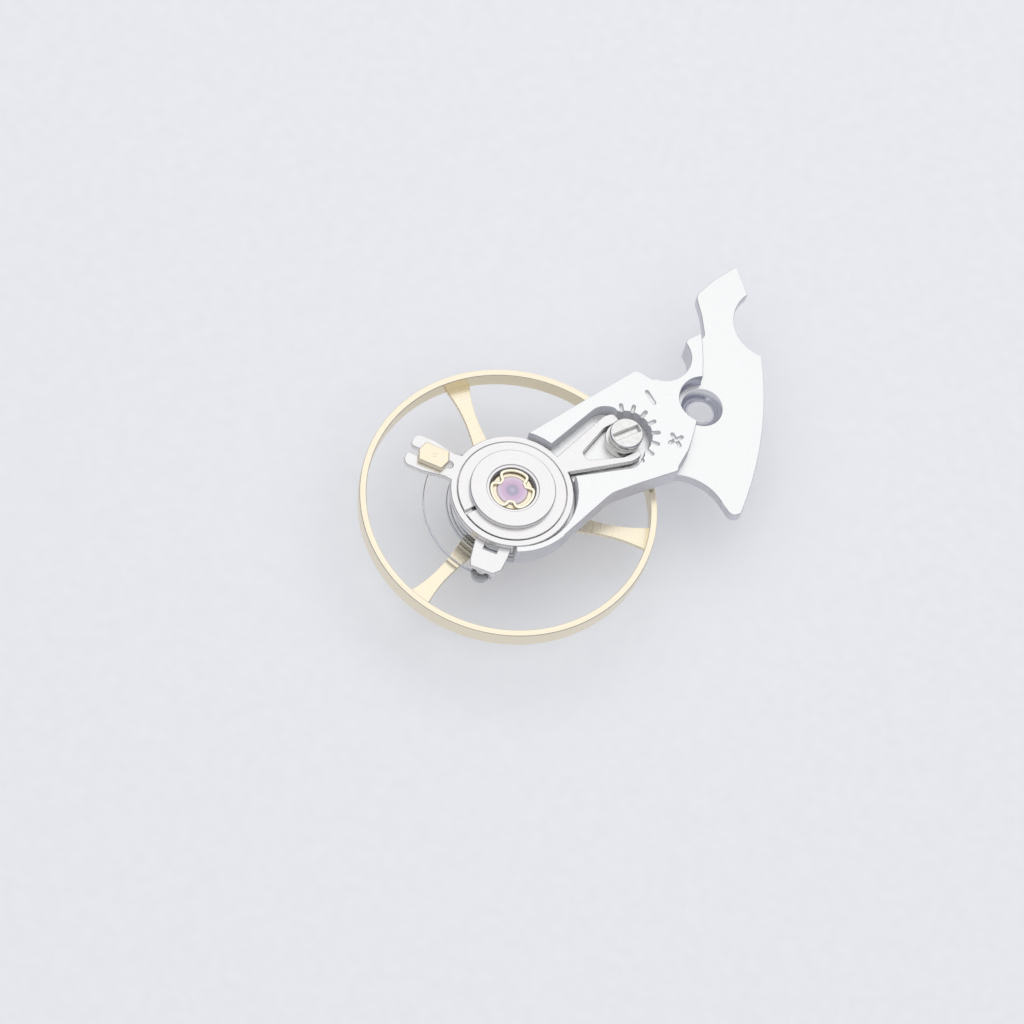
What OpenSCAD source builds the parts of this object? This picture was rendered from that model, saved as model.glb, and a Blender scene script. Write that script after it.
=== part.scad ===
/* [Cock plate] */
// Distance from the balance axis to the screw hole
balance_to_screw = 7.2; // [6:0.01:8.6]
// Thickness of the foot, which lies on the main plate
foot_thickness = 0.4; // [0.3:0.01:0.5]
// Height of the arm's top above the seat
arm_top = 0.95; // [0.85:0.01:1.2]
// Height of the arm's underside above the seat
arm_bottom = 0.2; // [0.1:0.01:0.25]
// Thickness of the rim that guards the lower half of the head
guard_w = 0.2; // [0.15:0.01:0.3]
// Thickness of the head's floor under the regulator rings
head_floor = 0.16; // [0.12:0.01:0.2]
// Radius of the movement that the foot's outer edge follows
movement_r = 12.8; // [12.6:0.05:13.2]
// Gap under the index fork in its pocket
fork_under = 0.09; // [0.05:0.01:0.15]

/* [Foot fasteners] */
// Radius of the hole for the cock screw
screw_hole_r = 0.41; // [0.3:0.01:0.5]
// Radius of the countersink at the foot's top
countersink_r = 0.66; // [0.52:0.01:0.7]
// Radius of the round cut that clears the screw head in the arm
head_clear_r = 0.82; // [0.72:0.01:0.95]
// Radius of each steady pin
steady_pin_r = 0.35; // [0.25:0.01:0.42]
// Length of a steady pin below the seat
steady_pin_out = 0.6; // [0.4:0.01:0.9]
// Radius of the steady pin's shank, which is pressed into the foot
steady_shank_r = 0.19; // [0.15:0.01:0.19]
// Depth of the shank in the foot
steady_pin_in = 0.28; // [0.2:0.01:0.29]
// Height of the cone with which a steady pin seats in the foot
steady_seat = 0.08; // [0.05:0.01:0.12]

/* [Shock setting] */
// Radius of the block's flange, seen from above
flange_r = 1.37; // [1.3:0.01:1.4]
// Radius of the block's journal, on which both rings turn
journal_r = 1.42; // [1.42:0.01:1.5]
// Radius of the block where it is pressed into the head
press_r = 1.25; // [1.15:0.01:1.3]
// Thickness of the flange
flange_h = 0.17; // [0.12:0.01:0.2]
// Outer radius of the jewel setting
setting_r = 0.66; // [0.6:0.01:0.7]
// Play round the setting in its well
setting_play = 0.09; // [0.05:0.01:0.12]
// Radius of the cap jewel
cap_r = 0.49; // [0.42:0.01:0.52]
// Radius of the hole jewel
hole_jewel_r = 0.36; // [0.3:0.01:0.38]
// Radius of the staff's pivots
pivot_r = 0.05; // [0.04:0.005:0.06]
// Lift of the staff in a shock, until its shoulder meets the block
shock_lift = 0.05; // [0.03:0.01:0.06]

/* [Regulator] */
// Outer radius of the index ring and the stud carrier's ring
ring_r = 1.96; // [1.85:0.01:2]
// Thickness of the index
index_h = 0.21; // [0.15:0.01:0.24]
// Thickness of the stud carrier
carrier_h = 0.16; // [0.12:0.01:0.2]
// Direction of the fork and the eccentric screw from the balance axis
fork_angle = 0.6; // [-2:0.1:4]
// Distance from the balance axis to the eccentric screw
eccentric_reach = 4.25; // [3.9:0.01:4.5]
// Throw of the eccentric
eccentric_throw = 0.08; // [0.06:0.01:0.14]
// Radius of the eccentric between the fork's jaws
eccentric_r = 0.57; // [0.5:0.01:0.6]
// Radius of the eccentric screw's head
screw_head_r = 0.53; // [0.45:0.01:0.56]
// Height of the eccentric screw's head above the arm
screw_head_out = 0.09; // [0:0.01:0.15]
// Width of the slot in the eccentric screw
screw_slot_w = 0.25; // [0.12:0.01:0.28]
// Direction of the curb pins from the balance axis
pin_angle = 128; // [120:1:136]
// Direction of the stud from the balance axis
stud_angle = 220; // [212:1:222]

/* [Balance] */
// Outer radius of the balance wheel
wheel_r = 4.76; // [4.55:0.01:4.9]
// Thickness of the rim, measured along the radius
rim_w = 0.22; // [0.18:0.01:0.3]
// Height of the rim
rim_h = 0.62; // [0.5:0.01:0.7]
// Height of the rim's top above the seat
rim_top = 0.05; // [-0.1:0.01:0.08]
// Thickness of the arms
spoke_h = 0.14; // [0.1:0.01:0.18]
// Direction of the first arm
spoke_angle = 79.75; // [0:0.25:119.75]

/* [Hairspring] */
// Radius of the terminal curve, which the curb pins and the stud hold
spring_arc_r = 2.7; // [2.6:0.01:2.85]
// Distance between neighbouring coils
spring_pitch = 0.12; // [0.1:0.005:0.14]
// Whole turns of the coiled body
spring_turns = 13; // [10:1:15]
// Thickness of the strip
spring_t = 0.035; // [0.02:0.005:0.05]
// Height of the strip
spring_h = 0.14; // [0.1:0.01:0.24]
// Height of the strip's middle above the seat
spring_z = -0.23; // [-0.26:0.01:-0.2]

/* [Fits] */
// Radial clearance of a running fit
running = 0.02; // [0.01:0.005:0.03]
// Gap between stacked pieces that slide on each other
slip = 0.01; // [0.01:0.005:0.02]

/* [Hidden] */
$fn = 96;

// Heights, all measured from the seat of the foot
floor_z = arm_bottom + head_floor;
carrier_z = floor_z + slip;
index_z = carrier_z + carrier_h + slip;
index_top = index_z + index_h;
step_z = index_z + index_h / 2;
pocket_z = index_z - fork_under;
flange_z = arm_top - flange_h;
spoke_z = rim_top - rim_h;
spring_bottom = spring_z - spring_h / 2;
spring_top = spring_z + spring_h / 2;
pin_bottom = spring_bottom - 0.04;
stud_bottom = spring_bottom - 0.04;

// Heights and chamfer of the setting and its jewels
setting_z = arm_bottom + 0.2;
setting_chamfer = 0.12;
hole_jewel_h = 0.16;
cap_h = 0.18;
oil_gap = 0.02;
hole_jewel_z = setting_z + 0.04;
cap_z = hole_jewel_z + hole_jewel_h + oil_gap;
lyre_z = cap_z + cap_h;
lyre_h = 0.05;

// Radii of the clearances about the balance axis
recess_r = ring_r + 0.11;
head_r = recess_r + guard_w;
ring_bore_r = journal_r + running;
lip_r = (ring_bore_r + ring_r) / 2 + 0.05;
groove_r = journal_r - 0.26;
wheel_clear_r = wheel_r + 0.54;
well_lip = 0.08;
well_r = setting_r + setting_play + well_lip;
staff_hole_r = 0.2;

// The foot's outline: centres and radii of the round cuts, from the screw hole
movement_centre = [-8.83, 6.21];
step_centre = [-8.75, 6.94];
step_r = 11.04;
train_cut = [-0.38, 1.95];
train_cut_r = 0.91;
inner_cut = [-2.93, -3.17];
inner_cut_r = 1.7;
nose_cut = [3.74, 1.6];
nose_cut_r = 1.3;
steady_pin_places = [[-0.64, -2.85], [2.56, 3]];

// The arm's lower edge leaves the head's rim as a tangent at this slope
edge_slope = 15.7;
rim_start = 242;

// The regulator's arms
fork_gap = eccentric_r + running;
fork_root = eccentric_reach - 1.52;
fork_root_half = 0.15;
fork_tip = eccentric_reach + 0.14;
jaw_start = eccentric_reach - 0.42;
slot_r = 0.13;
slot_start = ring_r + 0.2;
shank_r = 0.19;
curb_pin_r = 0.045;
curb_play = 0.02;
stud_r = 0.2;
collar_r = 0.4;
shaft_r = 0.3;

// The staff
collet_seat_r = 0.26;
wheel_seat_r = 0.3;
roller_seat_r = 0.22;
staff_flange_r = 0.6;
staff_flange_h = 0.2;
roller_length = 0.82;
table_r = 1.15;
table_z = spoke_z - staff_flange_h - 0.25;
roller_angle = 250;
impulse_r = 0.16;
impulse_reach = 0.9;

nickel = "#e4e2e0";
steel = "#c9c9cb";
gold = "#e3c46c";
pale_gold = "#e8d290";
ruby = "#c45fa8";

// A corner list holds [x, y] for a sharp corner and [x, y, r] for a rounded one.
function unit(v) = v / norm(v);
function spin(v, a) = [v.x * cos(a) - v.y * sin(a), v.x * sin(a) + v.y * cos(a)];
function flat(p) = [p.x, p.y];
function corner_arc(before, p, after, r, steps = 5) =
    let (
        u = unit(before - p),
        w = unit(after - p),
        half = acos(u * w) / 2,
        centre = p + unit(u + w) * r / sin(half),
        start = p + u * r / tan(half) - centre,
        way = u.x * w.y - u.y * w.x > 0 ? -1 : 1
    )
    [for (i = [0:steps]) centre + spin(start, way * (180 - 2 * half) * i / steps)];
function outline(c) = [
    for (i = [0:len(c) - 1])
        let (
            p = c[i],
            before = flat(c[(i + len(c) - 1) % len(c)]),
            after = flat(c[(i + 1) % len(c)])
        )
        each len(p) == 3 ? corner_arc(before, flat(p), after, p[2]) : [p]
];
function polar(r, a) = [r * cos(a), r * sin(a)];

// Puts its children on the balance axis, turned to a direction.
module at_balance(a = 0) translate([-balance_to_screw, 0, 0]) rotate([0, 0, a]) children();
module plate(corners, z0, z1) translate([0, 0, z0]) linear_extrude(z1 - z0) polygon(outline(corners));
module disc(r, z0, z1) translate([0, 0, z0]) cylinder(r = r, h = z1 - z0);
module cone(r0, r1, z0, z1) translate([0, 0, z0]) cylinder(r1 = r0, r2 = r1, h = z1 - z0);

// Outline of the arm, from the head along its upper edge and back. Its outer end is
// cut round afterwards.
function arm_corners() =
    let (b = -balance_to_screw, tangent = (head_r - 0.02) * [sin(edge_slope), -cos(edge_slope)])
    [[b + 1, 1.43], [-1.46, 1.91, 0.2], [-1.14, 1.35], [0.41, 1.2], [0.53, 2.12, 0.2],
        [1.7, 2.12], [0.7, 0], [-2.04, -1.7], [-2.12, -1.83, 0.12], [b + 3.77, -1.66],
        [b + 2.75, tangent.y + (2.75 - tangent.x) * tan(edge_slope), 1.2],
        [b + tangent.x, tangent.y], [b, 0]];

// Outline of the foot, from under the arm round the nose to the lower tip.
function foot_corners() = [[-2.7, 1.83], [-1.46, 1.91, 0.2], [-1.14, 1.35], [0.41, 1.2],
    [0.53, 2.12, 0.2], [1.2, 2.12], [1.46, 2.2, 0.2], [1.77, 2.9], [1.99, 3.6, 0.3],
    [2.85, 3.84], [3.86, 3.95, 0.12], [4.6, 2.6], [1.6, -3.82], [-1.22, -3.82, 0.25],
    [-1.23, -2.4], [-2.7, -1.72]];

// Round cuts that shape both levels of the cock.
module cock_cuts(z0, z1) {
    translate(train_cut) disc(train_cut_r, z0, z1);
    translate(inner_cut) disc(inner_cut_r, z0, z1);
    translate(nose_cut) disc(nose_cut_r, z0, z1);
}

module cock_foot() {
    difference() {
        intersection() {
            plate(foot_corners(), 0, foot_thickness);
            translate(movement_centre) disc(movement_r, 0, foot_thickness);
        }
        at_balance() disc(wheel_clear_r, -1, foot_thickness + 1);
        at_balance(fork_angle) translate([eccentric_reach, 0]) disc(collar_r + 0.1, -1, foot_thickness + 1);
        cock_cuts(-1, foot_thickness + 1);
    }
}

module cock_arm() {
    difference() {
        intersection() {
            plate(arm_corners(), arm_bottom, arm_top);
            translate(step_centre) disc(step_r, arm_bottom, arm_top);
        }
        translate(train_cut) disc(train_cut_r, arm_bottom - 1, arm_top + 1);
        disc(head_clear_r, foot_thickness, arm_top + 1);
    }
}

// Guard rim along the lower side of the head.
module cock_rim() {
    at_balance() intersection() {
        disc(head_r, arm_bottom, arm_top);
        plate([[0, 0], polar(5, rim_start), polar(5, 270), polar(5, 270 + edge_slope)], arm_bottom, arm_top);
    }
}

// Pocket in which the index fork swings round the eccentric.
module fork_pocket() {
    end = fork_tip + 0.04;
    at_balance(fork_angle) {
        plate([[1.3, -0.3], [eccentric_reach - 0.35, -fork_gap - 0.57, 0.4], [end, -fork_gap - 0.3, 0.25],
            [end, fork_gap + 0.4, 0.3], [eccentric_reach - 0.26, fork_gap + 0.68, 0.6], [1.3, 0.64]],
            pocket_z, arm_top + 1);
        translate([eccentric_reach, 0]) disc(fork_gap + 0.24, pocket_z, arm_top + 1);
    }
}

module balance_cock() {
    color(nickel) difference() {
        union() {
            cock_foot();
            cock_arm();
            cock_rim();
            at_balance() disc(ring_r - 0.06, arm_bottom, floor_z);
        }
        at_balance() disc(recess_r, floor_z, arm_top + 1);
        at_balance() disc(press_r, arm_bottom - 1, arm_top);
        fork_pocket();
        at_balance(fork_angle) translate([eccentric_reach, 0]) disc(shaft_r + running, -1, arm_top);
        disc(screw_hole_r, -1, foot_thickness + 1);
        cone(screw_hole_r, countersink_r, foot_thickness - (countersink_r - screw_hole_r), foot_thickness);
        for (p = steady_pin_places) translate(p) {
            disc(steady_shank_r, -1, steady_pin_in);
            cone(steady_pin_r + running, steady_shank_r, 0, steady_seat + slip);
        }
    }
}

module steady_pins() {
    tip = 0.08;
    color(steel) for (p = steady_pin_places) translate(p) {
        disc(steady_shank_r, 0, steady_pin_in);
        cone(steady_pin_r, steady_shank_r, 0, steady_seat);
        disc(steady_pin_r, tip - steady_pin_out, 0);
        cone(steady_pin_r - tip, steady_pin_r, -steady_pin_out, tip - steady_pin_out);
    }
}

// Flanged bush: pressed spigot, journal for the rings, groove for the split ring, flange.
module shock_block() {
    catch_z = lyre_z - 0.01;
    seat_r = setting_r - setting_chamfer;
    seat_top = setting_z + well_r - well_lip - seat_r;
    color(nickel) at_balance() difference() {
        union() {
            disc(press_r, arm_bottom, floor_z);
            disc(journal_r, floor_z, step_z);
            disc(groove_r, step_z, flange_z);
            disc(flange_r, flange_z, arm_top);
        }
        disc(well_r, arm_top - 0.04, arm_top + 1);
        disc(well_r - well_lip, seat_top, arm_top);
        disc(well_r - well_lip / 2, catch_z, catch_z + lyre_h + 0.03);
        cone(seat_r, well_r - well_lip, setting_z, seat_top);
        cone(staff_hole_r, seat_r - 0.06, arm_bottom + 0.03, setting_z);
        disc(staff_hole_r, arm_bottom - 1, setting_z);
    }
}

// Three-lobed flat spring: a ring that dips inwards at three places, where it presses on
// the cap jewel. A dip is a bell curve of the angle from its middle.
function spring_dip(a) = 1 / (1 + pow(abs((a + 60) % 120 - 60) / 15, 6));

module shock_spring() {
    band = 0.08;
    ring = well_r - well_lip - 0.08;
    press = cap_r - 0.065;
    line = [for (i = [0:89]) let (a = 4 * i) polar(ring - (ring - press) * spring_dip(a), a)];
    left = [for (i = [0:89]) spin(unit(line[(i + 1) % 90] - line[(i + 89) % 90]), 90) * band / 2];
    color(gold) at_balance(-7) translate([0, 0, lyre_z]) linear_extrude(lyre_h) difference() {
        polygon(line - left);
        polygon(line + left);
    }
}

module jewel_setting() {
    wall_top = lyre_z - 0.04;
    color(gold) at_balance() difference() {
        union() {
            cone(setting_r - setting_chamfer, setting_r, setting_z, setting_z + setting_chamfer);
            disc(setting_r, setting_z + setting_chamfer, wall_top);
        }
        disc(cap_r, cap_z, wall_top + 1);
        disc(hole_jewel_r, hole_jewel_z, cap_z);
        cone(0.3, 0.24, setting_z, hole_jewel_z);
    }
}

module hole_jewel() {
    dome = 0.03;
    bore = pivot_r + running / 2;
    color(ruby) at_balance() difference() {
        union() {
            disc(hole_jewel_r, hole_jewel_z, hole_jewel_z + hole_jewel_h - dome);
            cone(hole_jewel_r, hole_jewel_r - 0.14, hole_jewel_z + hole_jewel_h - dome,
                hole_jewel_z + hole_jewel_h);
        }
        disc(bore, -1, arm_top);
        cone(0.2, bore, hole_jewel_z, hole_jewel_z + 0.08);
    }
}

module cap_jewel() {
    bevel = 0.06;
    color(ruby) at_balance() {
        disc(cap_r, cap_z, lyre_z - bevel);
        cone(cap_r, cap_r - bevel, lyre_z - bevel, lyre_z);
    }
}

// Split spring ring in the block's groove, which holds both rings down.
module friction_ring() {
    slit = 0.12;
    color(nickel) at_balance() difference() {
        disc(lip_r - running, step_z + slip, flange_z - slip);
        disc(groove_r + running, 0, arm_top);
        translate([-ring_r, -slit / 2, 0]) cube([ring_r, slit, arm_top]);
    }
}

// Outline of the arm that carries the curb pins, along its own direction.
function pin_arm_corners() =
    let (waist = ring_r + 0.19, widest = spring_arc_r + 0.15, end = spring_arc_r + 0.83)
    [[1.5, -0.55], [waist, -0.44, 0.3], [widest, -0.6, 0.4], [end, -0.6, 0.22],
        [end, -slot_r, 0.1], [spring_arc_r, -slot_r], [spring_arc_r, slot_r],
        [end, slot_r, 0.1], [end, 0.57, 0.22], [widest, 0.57, 0.4], [waist, 0.44, 0.3], [1.5, 0.55]];

// Outline of one jaw of the fork; side is 1 or -1.
function jaw_corners(side) =
    let (root = side > 0 ? 0.36 : 0.2, outer = fork_gap + (side > 0 ? 0.38 : 0.27),
        tip_r = side > 0 ? 0.18 : 0.1)
    [[1.6, 0], [1.8, side * root], [eccentric_reach - 0.2, side * outer, 0.6],
        [fork_tip, side * (outer - 0.07), tip_r], [fork_tip, side * fork_gap, 0.07],
        [jaw_start, side * fork_gap, 0.3],
        [fork_root, side * fork_root_half, 0.12], [fork_root, 0]];

module index_ring() {
    color(nickel) at_balance() difference() {
        union() {
            disc(ring_r, index_z, index_top);
            rotate([0, 0, fork_angle]) for (side = [-1, 1]) plate(jaw_corners(side), index_z, index_top);
            rotate([0, 0, pin_angle]) plate(pin_arm_corners(), index_z, index_top);
        }
        disc(ring_bore_r, 0, arm_top);
        disc(lip_r, step_z, arm_top);
        rotate([0, 0, pin_angle]) {
            translate([spring_arc_r, 0]) disc(shank_r + running, 0, arm_top);
            translate([slot_start, 0]) disc(slot_r, 0, arm_top);
            translate([slot_start, -slot_r, 0]) cube([spring_arc_r - slot_start, 2 * slot_r, arm_top]);
        }
    }
}

// Six-sided head, shank in the index's slot and a flange below it.
module regulator_pin_block() {
    half_l = 0.52;
    half_w = 0.345;
    cut = 0.125;
    color(gold) at_balance(pin_angle) translate([spring_arc_r, 0]) {
        plate([[-half_l, 0], [cut - half_l, -half_w], [half_l - cut, -half_w], [half_l, 0],
            [half_l - cut, half_w], [cut - half_l, half_w]], index_top + slip, arm_top);
        disc(shank_r, index_z - slip, index_top + slip);
        difference() {
            disc(shank_r + 0.07, carrier_z + 0.06, index_z - slip);
            pin_pair(carrier_z + 0.05, index_z - slip - 0.02);
        }
    }
}

module pin_pair(z0, z1) {
    off = spring_t / 2 + curb_play + curb_pin_r;
    for (side = [-1, 1]) translate([side * off, 0]) disc(curb_pin_r, z0, z1);
}

module curb_pins() {
    color(gold) at_balance(pin_angle) translate([spring_arc_r, 0]) pin_pair(pin_bottom, index_z - slip - 0.02);
}

module stud_carrier() {
    end = spring_arc_r + 0.2;
    window_l = 0.34;
    window_w = 0.46;
    color(nickel) at_balance() difference() {
        union() {
            disc(ring_r, carrier_z, carrier_z + carrier_h);
            rotate([0, 0, stud_angle])
                plate([[1.4, -0.59], [end - 0.22, -0.44, 0.3], [end, -0.36, 0.05], [end, 0.4, 0.05],
                    [end - 0.22, 0.6, 0.1], [ring_r + 0.3, 0.64, 0.3], [1.4, 0.66]],
                    carrier_z, carrier_z + carrier_h);
        }
        disc(ring_bore_r, 0, arm_top);
        rotate([0, 0, stud_angle]) {
            translate([ring_r - 0.1, 0.04 - window_w / 2, 0]) cube([window_l, window_w, arm_top]);
            translate([spring_arc_r, 0]) disc(stud_r / 2, 0, carrier_z + carrier_h - 0.05);
        }
    }
}

// Round post whose lower end has a slot for the spring.
module stud_body() {
    slot = 0.12;
    difference() {
        union() {
            disc(stud_r, stud_bottom, carrier_z);
            disc(stud_r / 2, carrier_z, carrier_z + carrier_h - 0.05);
        }
        translate([-slot / 2, -1, stud_bottom - 1]) cube([slot, 2, 1 + spring_top + 0.04 - stud_bottom]);
    }
}

module hairspring_stud() {
    color(steel) at_balance(stud_angle) translate([spring_arc_r, 0]) stud_body();
}

// Hardened drop round the stud's lower end, which holds the spring's end in the slot.
module stud_cement() {
    drop_r = 0.3;
    color("#8d8f93") at_balance() difference() {
        rotate([0, 0, stud_angle]) translate([spring_arc_r, 0]) {
            cone(drop_r - 0.15, drop_r, stud_bottom - 0.02, stud_bottom + 0.14);
            disc(drop_r, stud_bottom + 0.14, 0.08);
            cone(drop_r, stud_r + 0.01, 0.08, 0.22);
        }
        rotate([0, 0, stud_angle]) translate([spring_arc_r, 0]) stud_body();
        difference() {
            disc(spring_arc_r + spring_t / 2 + 0.002, spring_bottom, spring_top);
            disc(spring_arc_r - spring_t / 2 - 0.002, spring_bottom - 1, spring_top + 1);
        }
    }
}

// Head with a closed slot over an eccentric between the fork's jaws; the shaft turns in the arm.
module eccentric_screw() {
    slot_turn = -4;
    slot_depth = 0.15;
    slot_half = screw_head_r - 0.095;
    head_z = index_top + 0.03;
    head_top = arm_top + screw_head_out;
    color(steel) at_balance(fork_angle) translate([eccentric_reach, 0]) difference() {
        union() {
            disc(collar_r, arm_bottom - 0.07, arm_bottom - slip);
            disc(shaft_r, arm_bottom - slip, index_z);
            translate([-eccentric_throw, 0]) disc(eccentric_r, pocket_z + slip, head_z);
            disc(screw_head_r, head_z, head_top);
        }
        rotate([0, 0, slot_turn]) translate([-slot_half, -screw_slot_w / 2, head_top - slot_depth])
            cube([2 * slot_half, screw_slot_w, 1]);
    }
}

// Half-width of a wheel arm at radius r: slim in the middle, flared to the rim and hub.
function spoke_half(r) = 0.21 + (r > 3.2 ? 0.11 * pow(r - 3.2, 2) : 0.075 * pow(3.2 - r, 2));

module spoke() {
    inner = wheel_r - rim_w + 0.02;
    steps = 14;
    radii = [for (i = [0:steps]) 0.8 + (inner - 0.8) * i / steps];
    plate(concat([for (r = radii) [r, -spoke_half(r)]], [for (i = [steps:-1:0]) [radii[i], spoke_half(radii[i])]]),
        spoke_z, spoke_z + spoke_h);
}

module balance_wheel() {
    color(pale_gold) at_balance() difference() {
        union() {
            difference() {
                disc(wheel_r, spoke_z, rim_top);
                disc(wheel_r - rim_w, spoke_z - 1, rim_top + 1);
            }
            for (k = [0:2]) rotate([0, 0, spoke_angle + 120 * k]) spoke();
            disc(1.05, spoke_z, spoke_z + spoke_h);
        }
        disc(wheel_seat_r, spoke_z - 1, rim_top);
    }
}

module balance_staff() {
    flange_top = spoke_z;
    flange_bottom = spoke_z - staff_flange_h;
    roller_bottom = flange_bottom - roller_length;
    shoulder_z = arm_bottom - shock_lift;
    neck_r = 0.14;
    neck_top = setting_z - 0.08;
    end_z = cap_z - 0.005;
    color(steel) at_balance() {
        disc(pivot_r, roller_bottom - 0.48, roller_bottom - 0.28);
        cone(pivot_r, roller_seat_r, roller_bottom - 0.28, roller_bottom - 0.08);
        disc(roller_seat_r, roller_bottom - 0.08, roller_bottom);
        disc(roller_seat_r, roller_bottom, flange_bottom);
        disc(staff_flange_r, flange_bottom, flange_top);
        disc(wheel_seat_r, flange_top, flange_top + spoke_h);
        disc(collet_seat_r, flange_top + spoke_h, shoulder_z);
        disc(neck_r, shoulder_z, neck_top);
        cone(neck_r, pivot_r, neck_top, neck_top + 0.06);
        disc(pivot_r, neck_top + 0.06, end_z);
    }
}

// Impulse table and safety roller on one pipe, with the passing hollow below the jewel.
module double_roller() {
    top = spoke_z - staff_flange_h;
    bottom = top - roller_length;
    safety_r = 0.62;
    table_h = 0.13;
    color(steel) at_balance(roller_angle) difference() {
        union() {
            disc(0.4, bottom, top);
            disc(table_r, table_z, table_z + table_h);
            disc(safety_r, bottom, bottom + 0.14);
        }
        disc(roller_seat_r, bottom - 1, top + 1);
        translate([safety_r + 0.12, 0]) disc(0.24, bottom - 1, bottom + 0.3);
        impulse_shape(table_z - 1, table_z + 1);
    }
}

module impulse_shape(z0, z1) {
    translate([impulse_reach, 0, 0]) difference() {
        disc(impulse_r, z0, z1);
        translate([impulse_r * 0.35, -1, z0 - 1]) cube([1, 2, z1 - z0 + 2]);
    }
}

module impulse_jewel() {
    color(ruby) at_balance(roller_angle) impulse_shape(table_z - 0.3, table_z + 0.16);
}

module hairspring_collet() {
    collet_r = spring_inner_r - spring_t / 2;
    collet_over = 0.05;
    color(pale_gold) at_balance(spring_start + 180) difference() {
        disc(collet_r, spring_bottom - collet_over, spring_top + collet_over);
        disc(collet_seat_r, spring_bottom - 1, spring_top + 1);
        translate([0, -0.03, spring_bottom - 1]) cube([1, 0.06, 3]);
    }
}

// The spring's centre line as radius against angle: an even spiral, a bend outward and
// the terminal curve, which ends just past the stud.
spring_inner_r = 0.5;
body_end = 92;
bend = 26;
spring_end = stud_angle + 8;
spring_start = body_end - 360 * spring_turns;
function smooth(u) = u * u * (3 - 2 * u);
function body_radius(a) = spring_inner_r + spring_pitch * (a - spring_start) / 360;
function spring_radius(a) = a <= body_end ? body_radius(a)
    : a >= body_end + bend ? spring_arc_r
    : body_radius(a) + (spring_arc_r - body_radius(a)) * smooth((a - body_end) / bend);
body_angles = [for (a = [spring_start:12:body_end - 1]) a];
end_angles = [for (a = [body_end:4:spring_end]) a];
spring_angles = concat(body_angles, end_angles);
function spring_side(off) = [for (a = spring_angles) polar(spring_radius(a) + off, a)];
spring_line = spring_side(0);
turn_points = 30;
spring_gap = min([for (i = [0:len(body_angles) - turn_points - 1])
    for (j = [i + turn_points - 2:i + turn_points + 2])
        norm(spring_line[i] - spring_line[j]) - spring_t]);
echo(str("least gap between the hairspring's coils, mm: ", spring_gap));

module hairspring() {
    inner = spring_side(-spring_t / 2);
    outer = spring_side(spring_t / 2);
    last = len(inner) - 1;
    color("#6f7480") at_balance() plate(concat(outer, [for (i = [last:-1:0]) inner[i]]), spring_bottom, spring_top);
}

balance_cock();
steady_pins();
shock_block();
shock_spring();
jewel_setting();
hole_jewel();
cap_jewel();
friction_ring();
index_ring();
regulator_pin_block();
curb_pins();
stud_carrier();
hairspring_stud();
stud_cement();
eccentric_screw();
balance_wheel();
balance_staff();
double_roller();
impulse_jewel();
hairspring_collet();
hairspring();
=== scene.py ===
# %% [markdown]
# # A balance cock, finished on its measured frame
#
# The measured model of this watch part has exact solids, but plain ones: every edge is knife-sharp and
# every surface is the same grey. This notebook gives each piece its real surface. Turned pieces are
# profiles carried round an axis, plates are outlines carried upwards, springs are strips carried along a
# line, and the fixed frame says where each of them sits.

# %% Load the frame
import math

import bmesh
import bpy
import numpy as np
from mathutils import Matrix, Vector
from mathutils.geometry import tessellate_polygon


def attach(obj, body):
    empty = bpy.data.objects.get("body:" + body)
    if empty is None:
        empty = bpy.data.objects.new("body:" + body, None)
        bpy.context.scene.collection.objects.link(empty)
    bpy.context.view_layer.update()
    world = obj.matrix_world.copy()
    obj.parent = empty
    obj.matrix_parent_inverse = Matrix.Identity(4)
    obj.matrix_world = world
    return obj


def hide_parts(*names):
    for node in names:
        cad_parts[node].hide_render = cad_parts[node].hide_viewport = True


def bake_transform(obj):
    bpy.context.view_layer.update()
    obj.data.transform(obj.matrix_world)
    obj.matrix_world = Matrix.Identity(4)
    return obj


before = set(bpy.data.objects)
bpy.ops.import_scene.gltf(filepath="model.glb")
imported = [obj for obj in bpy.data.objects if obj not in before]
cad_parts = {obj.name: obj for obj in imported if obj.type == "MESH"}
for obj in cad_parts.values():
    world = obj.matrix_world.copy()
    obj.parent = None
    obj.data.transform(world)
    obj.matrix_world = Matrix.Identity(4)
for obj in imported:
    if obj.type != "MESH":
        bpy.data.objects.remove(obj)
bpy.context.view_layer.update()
scene = bpy.context.scene

# %% [markdown]
# ## Sizes
#
# A watchmaker works in millimetres and Blender in metres, so all lengths below are millimetres and one
# value turns them into metres. The origin is the middle of the screw hole at the foot's seat. The balance
# axis stands 7.2 mm to its left, and most outlines are drawn round that axis first. Several pieces share
# the heights given here. A size that belongs to one piece stands where that piece is made.

# %% Shared sizes in millimetres
MM = 0.001
AXIS = (-7.2, 0.0)
ARM_BOTTOM, HEAD_FLOOR, ARM_TOP = 0.2, 0.36, 0.95
INDEX_STEP, FLANGE_Z = 0.645, 0.78
PIVOT_TIP = -2.07  # the lowest point, which the table touches
EDGE = 0.02  # the broken edge of a finished watch plate
print("balance axis to screw hole in mm:", -AXIS[0])

# %% [markdown]
# ## Outlines
#
# Nearly every piece starts as a flat outline of arcs and of straight sides with rounded corners. It could
# be drawn as a curve by hand. As an array of points its arcs stay as fine as we like, and a size can
# still change in one place.


# %% Points on circles
def polar(radius, degrees, centre=(0.0, 0.0)):
    """Points at a radius and at angles in degrees: the centre plus the radius times cosine and sine."""
    a = np.radians(np.asarray(degrees, float))
    return np.stack([centre[0] + radius * np.cos(a), centre[1] + radius * np.sin(a)], -1)


def arc(radius, start, end, centre=(0.0, 0.0), step=2.5):
    """An arc from one angle to another, with a point about every step degrees."""
    return polar(radius, np.linspace(start, end, max(2, int(abs(end - start) / step) + 1)), centre)


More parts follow.
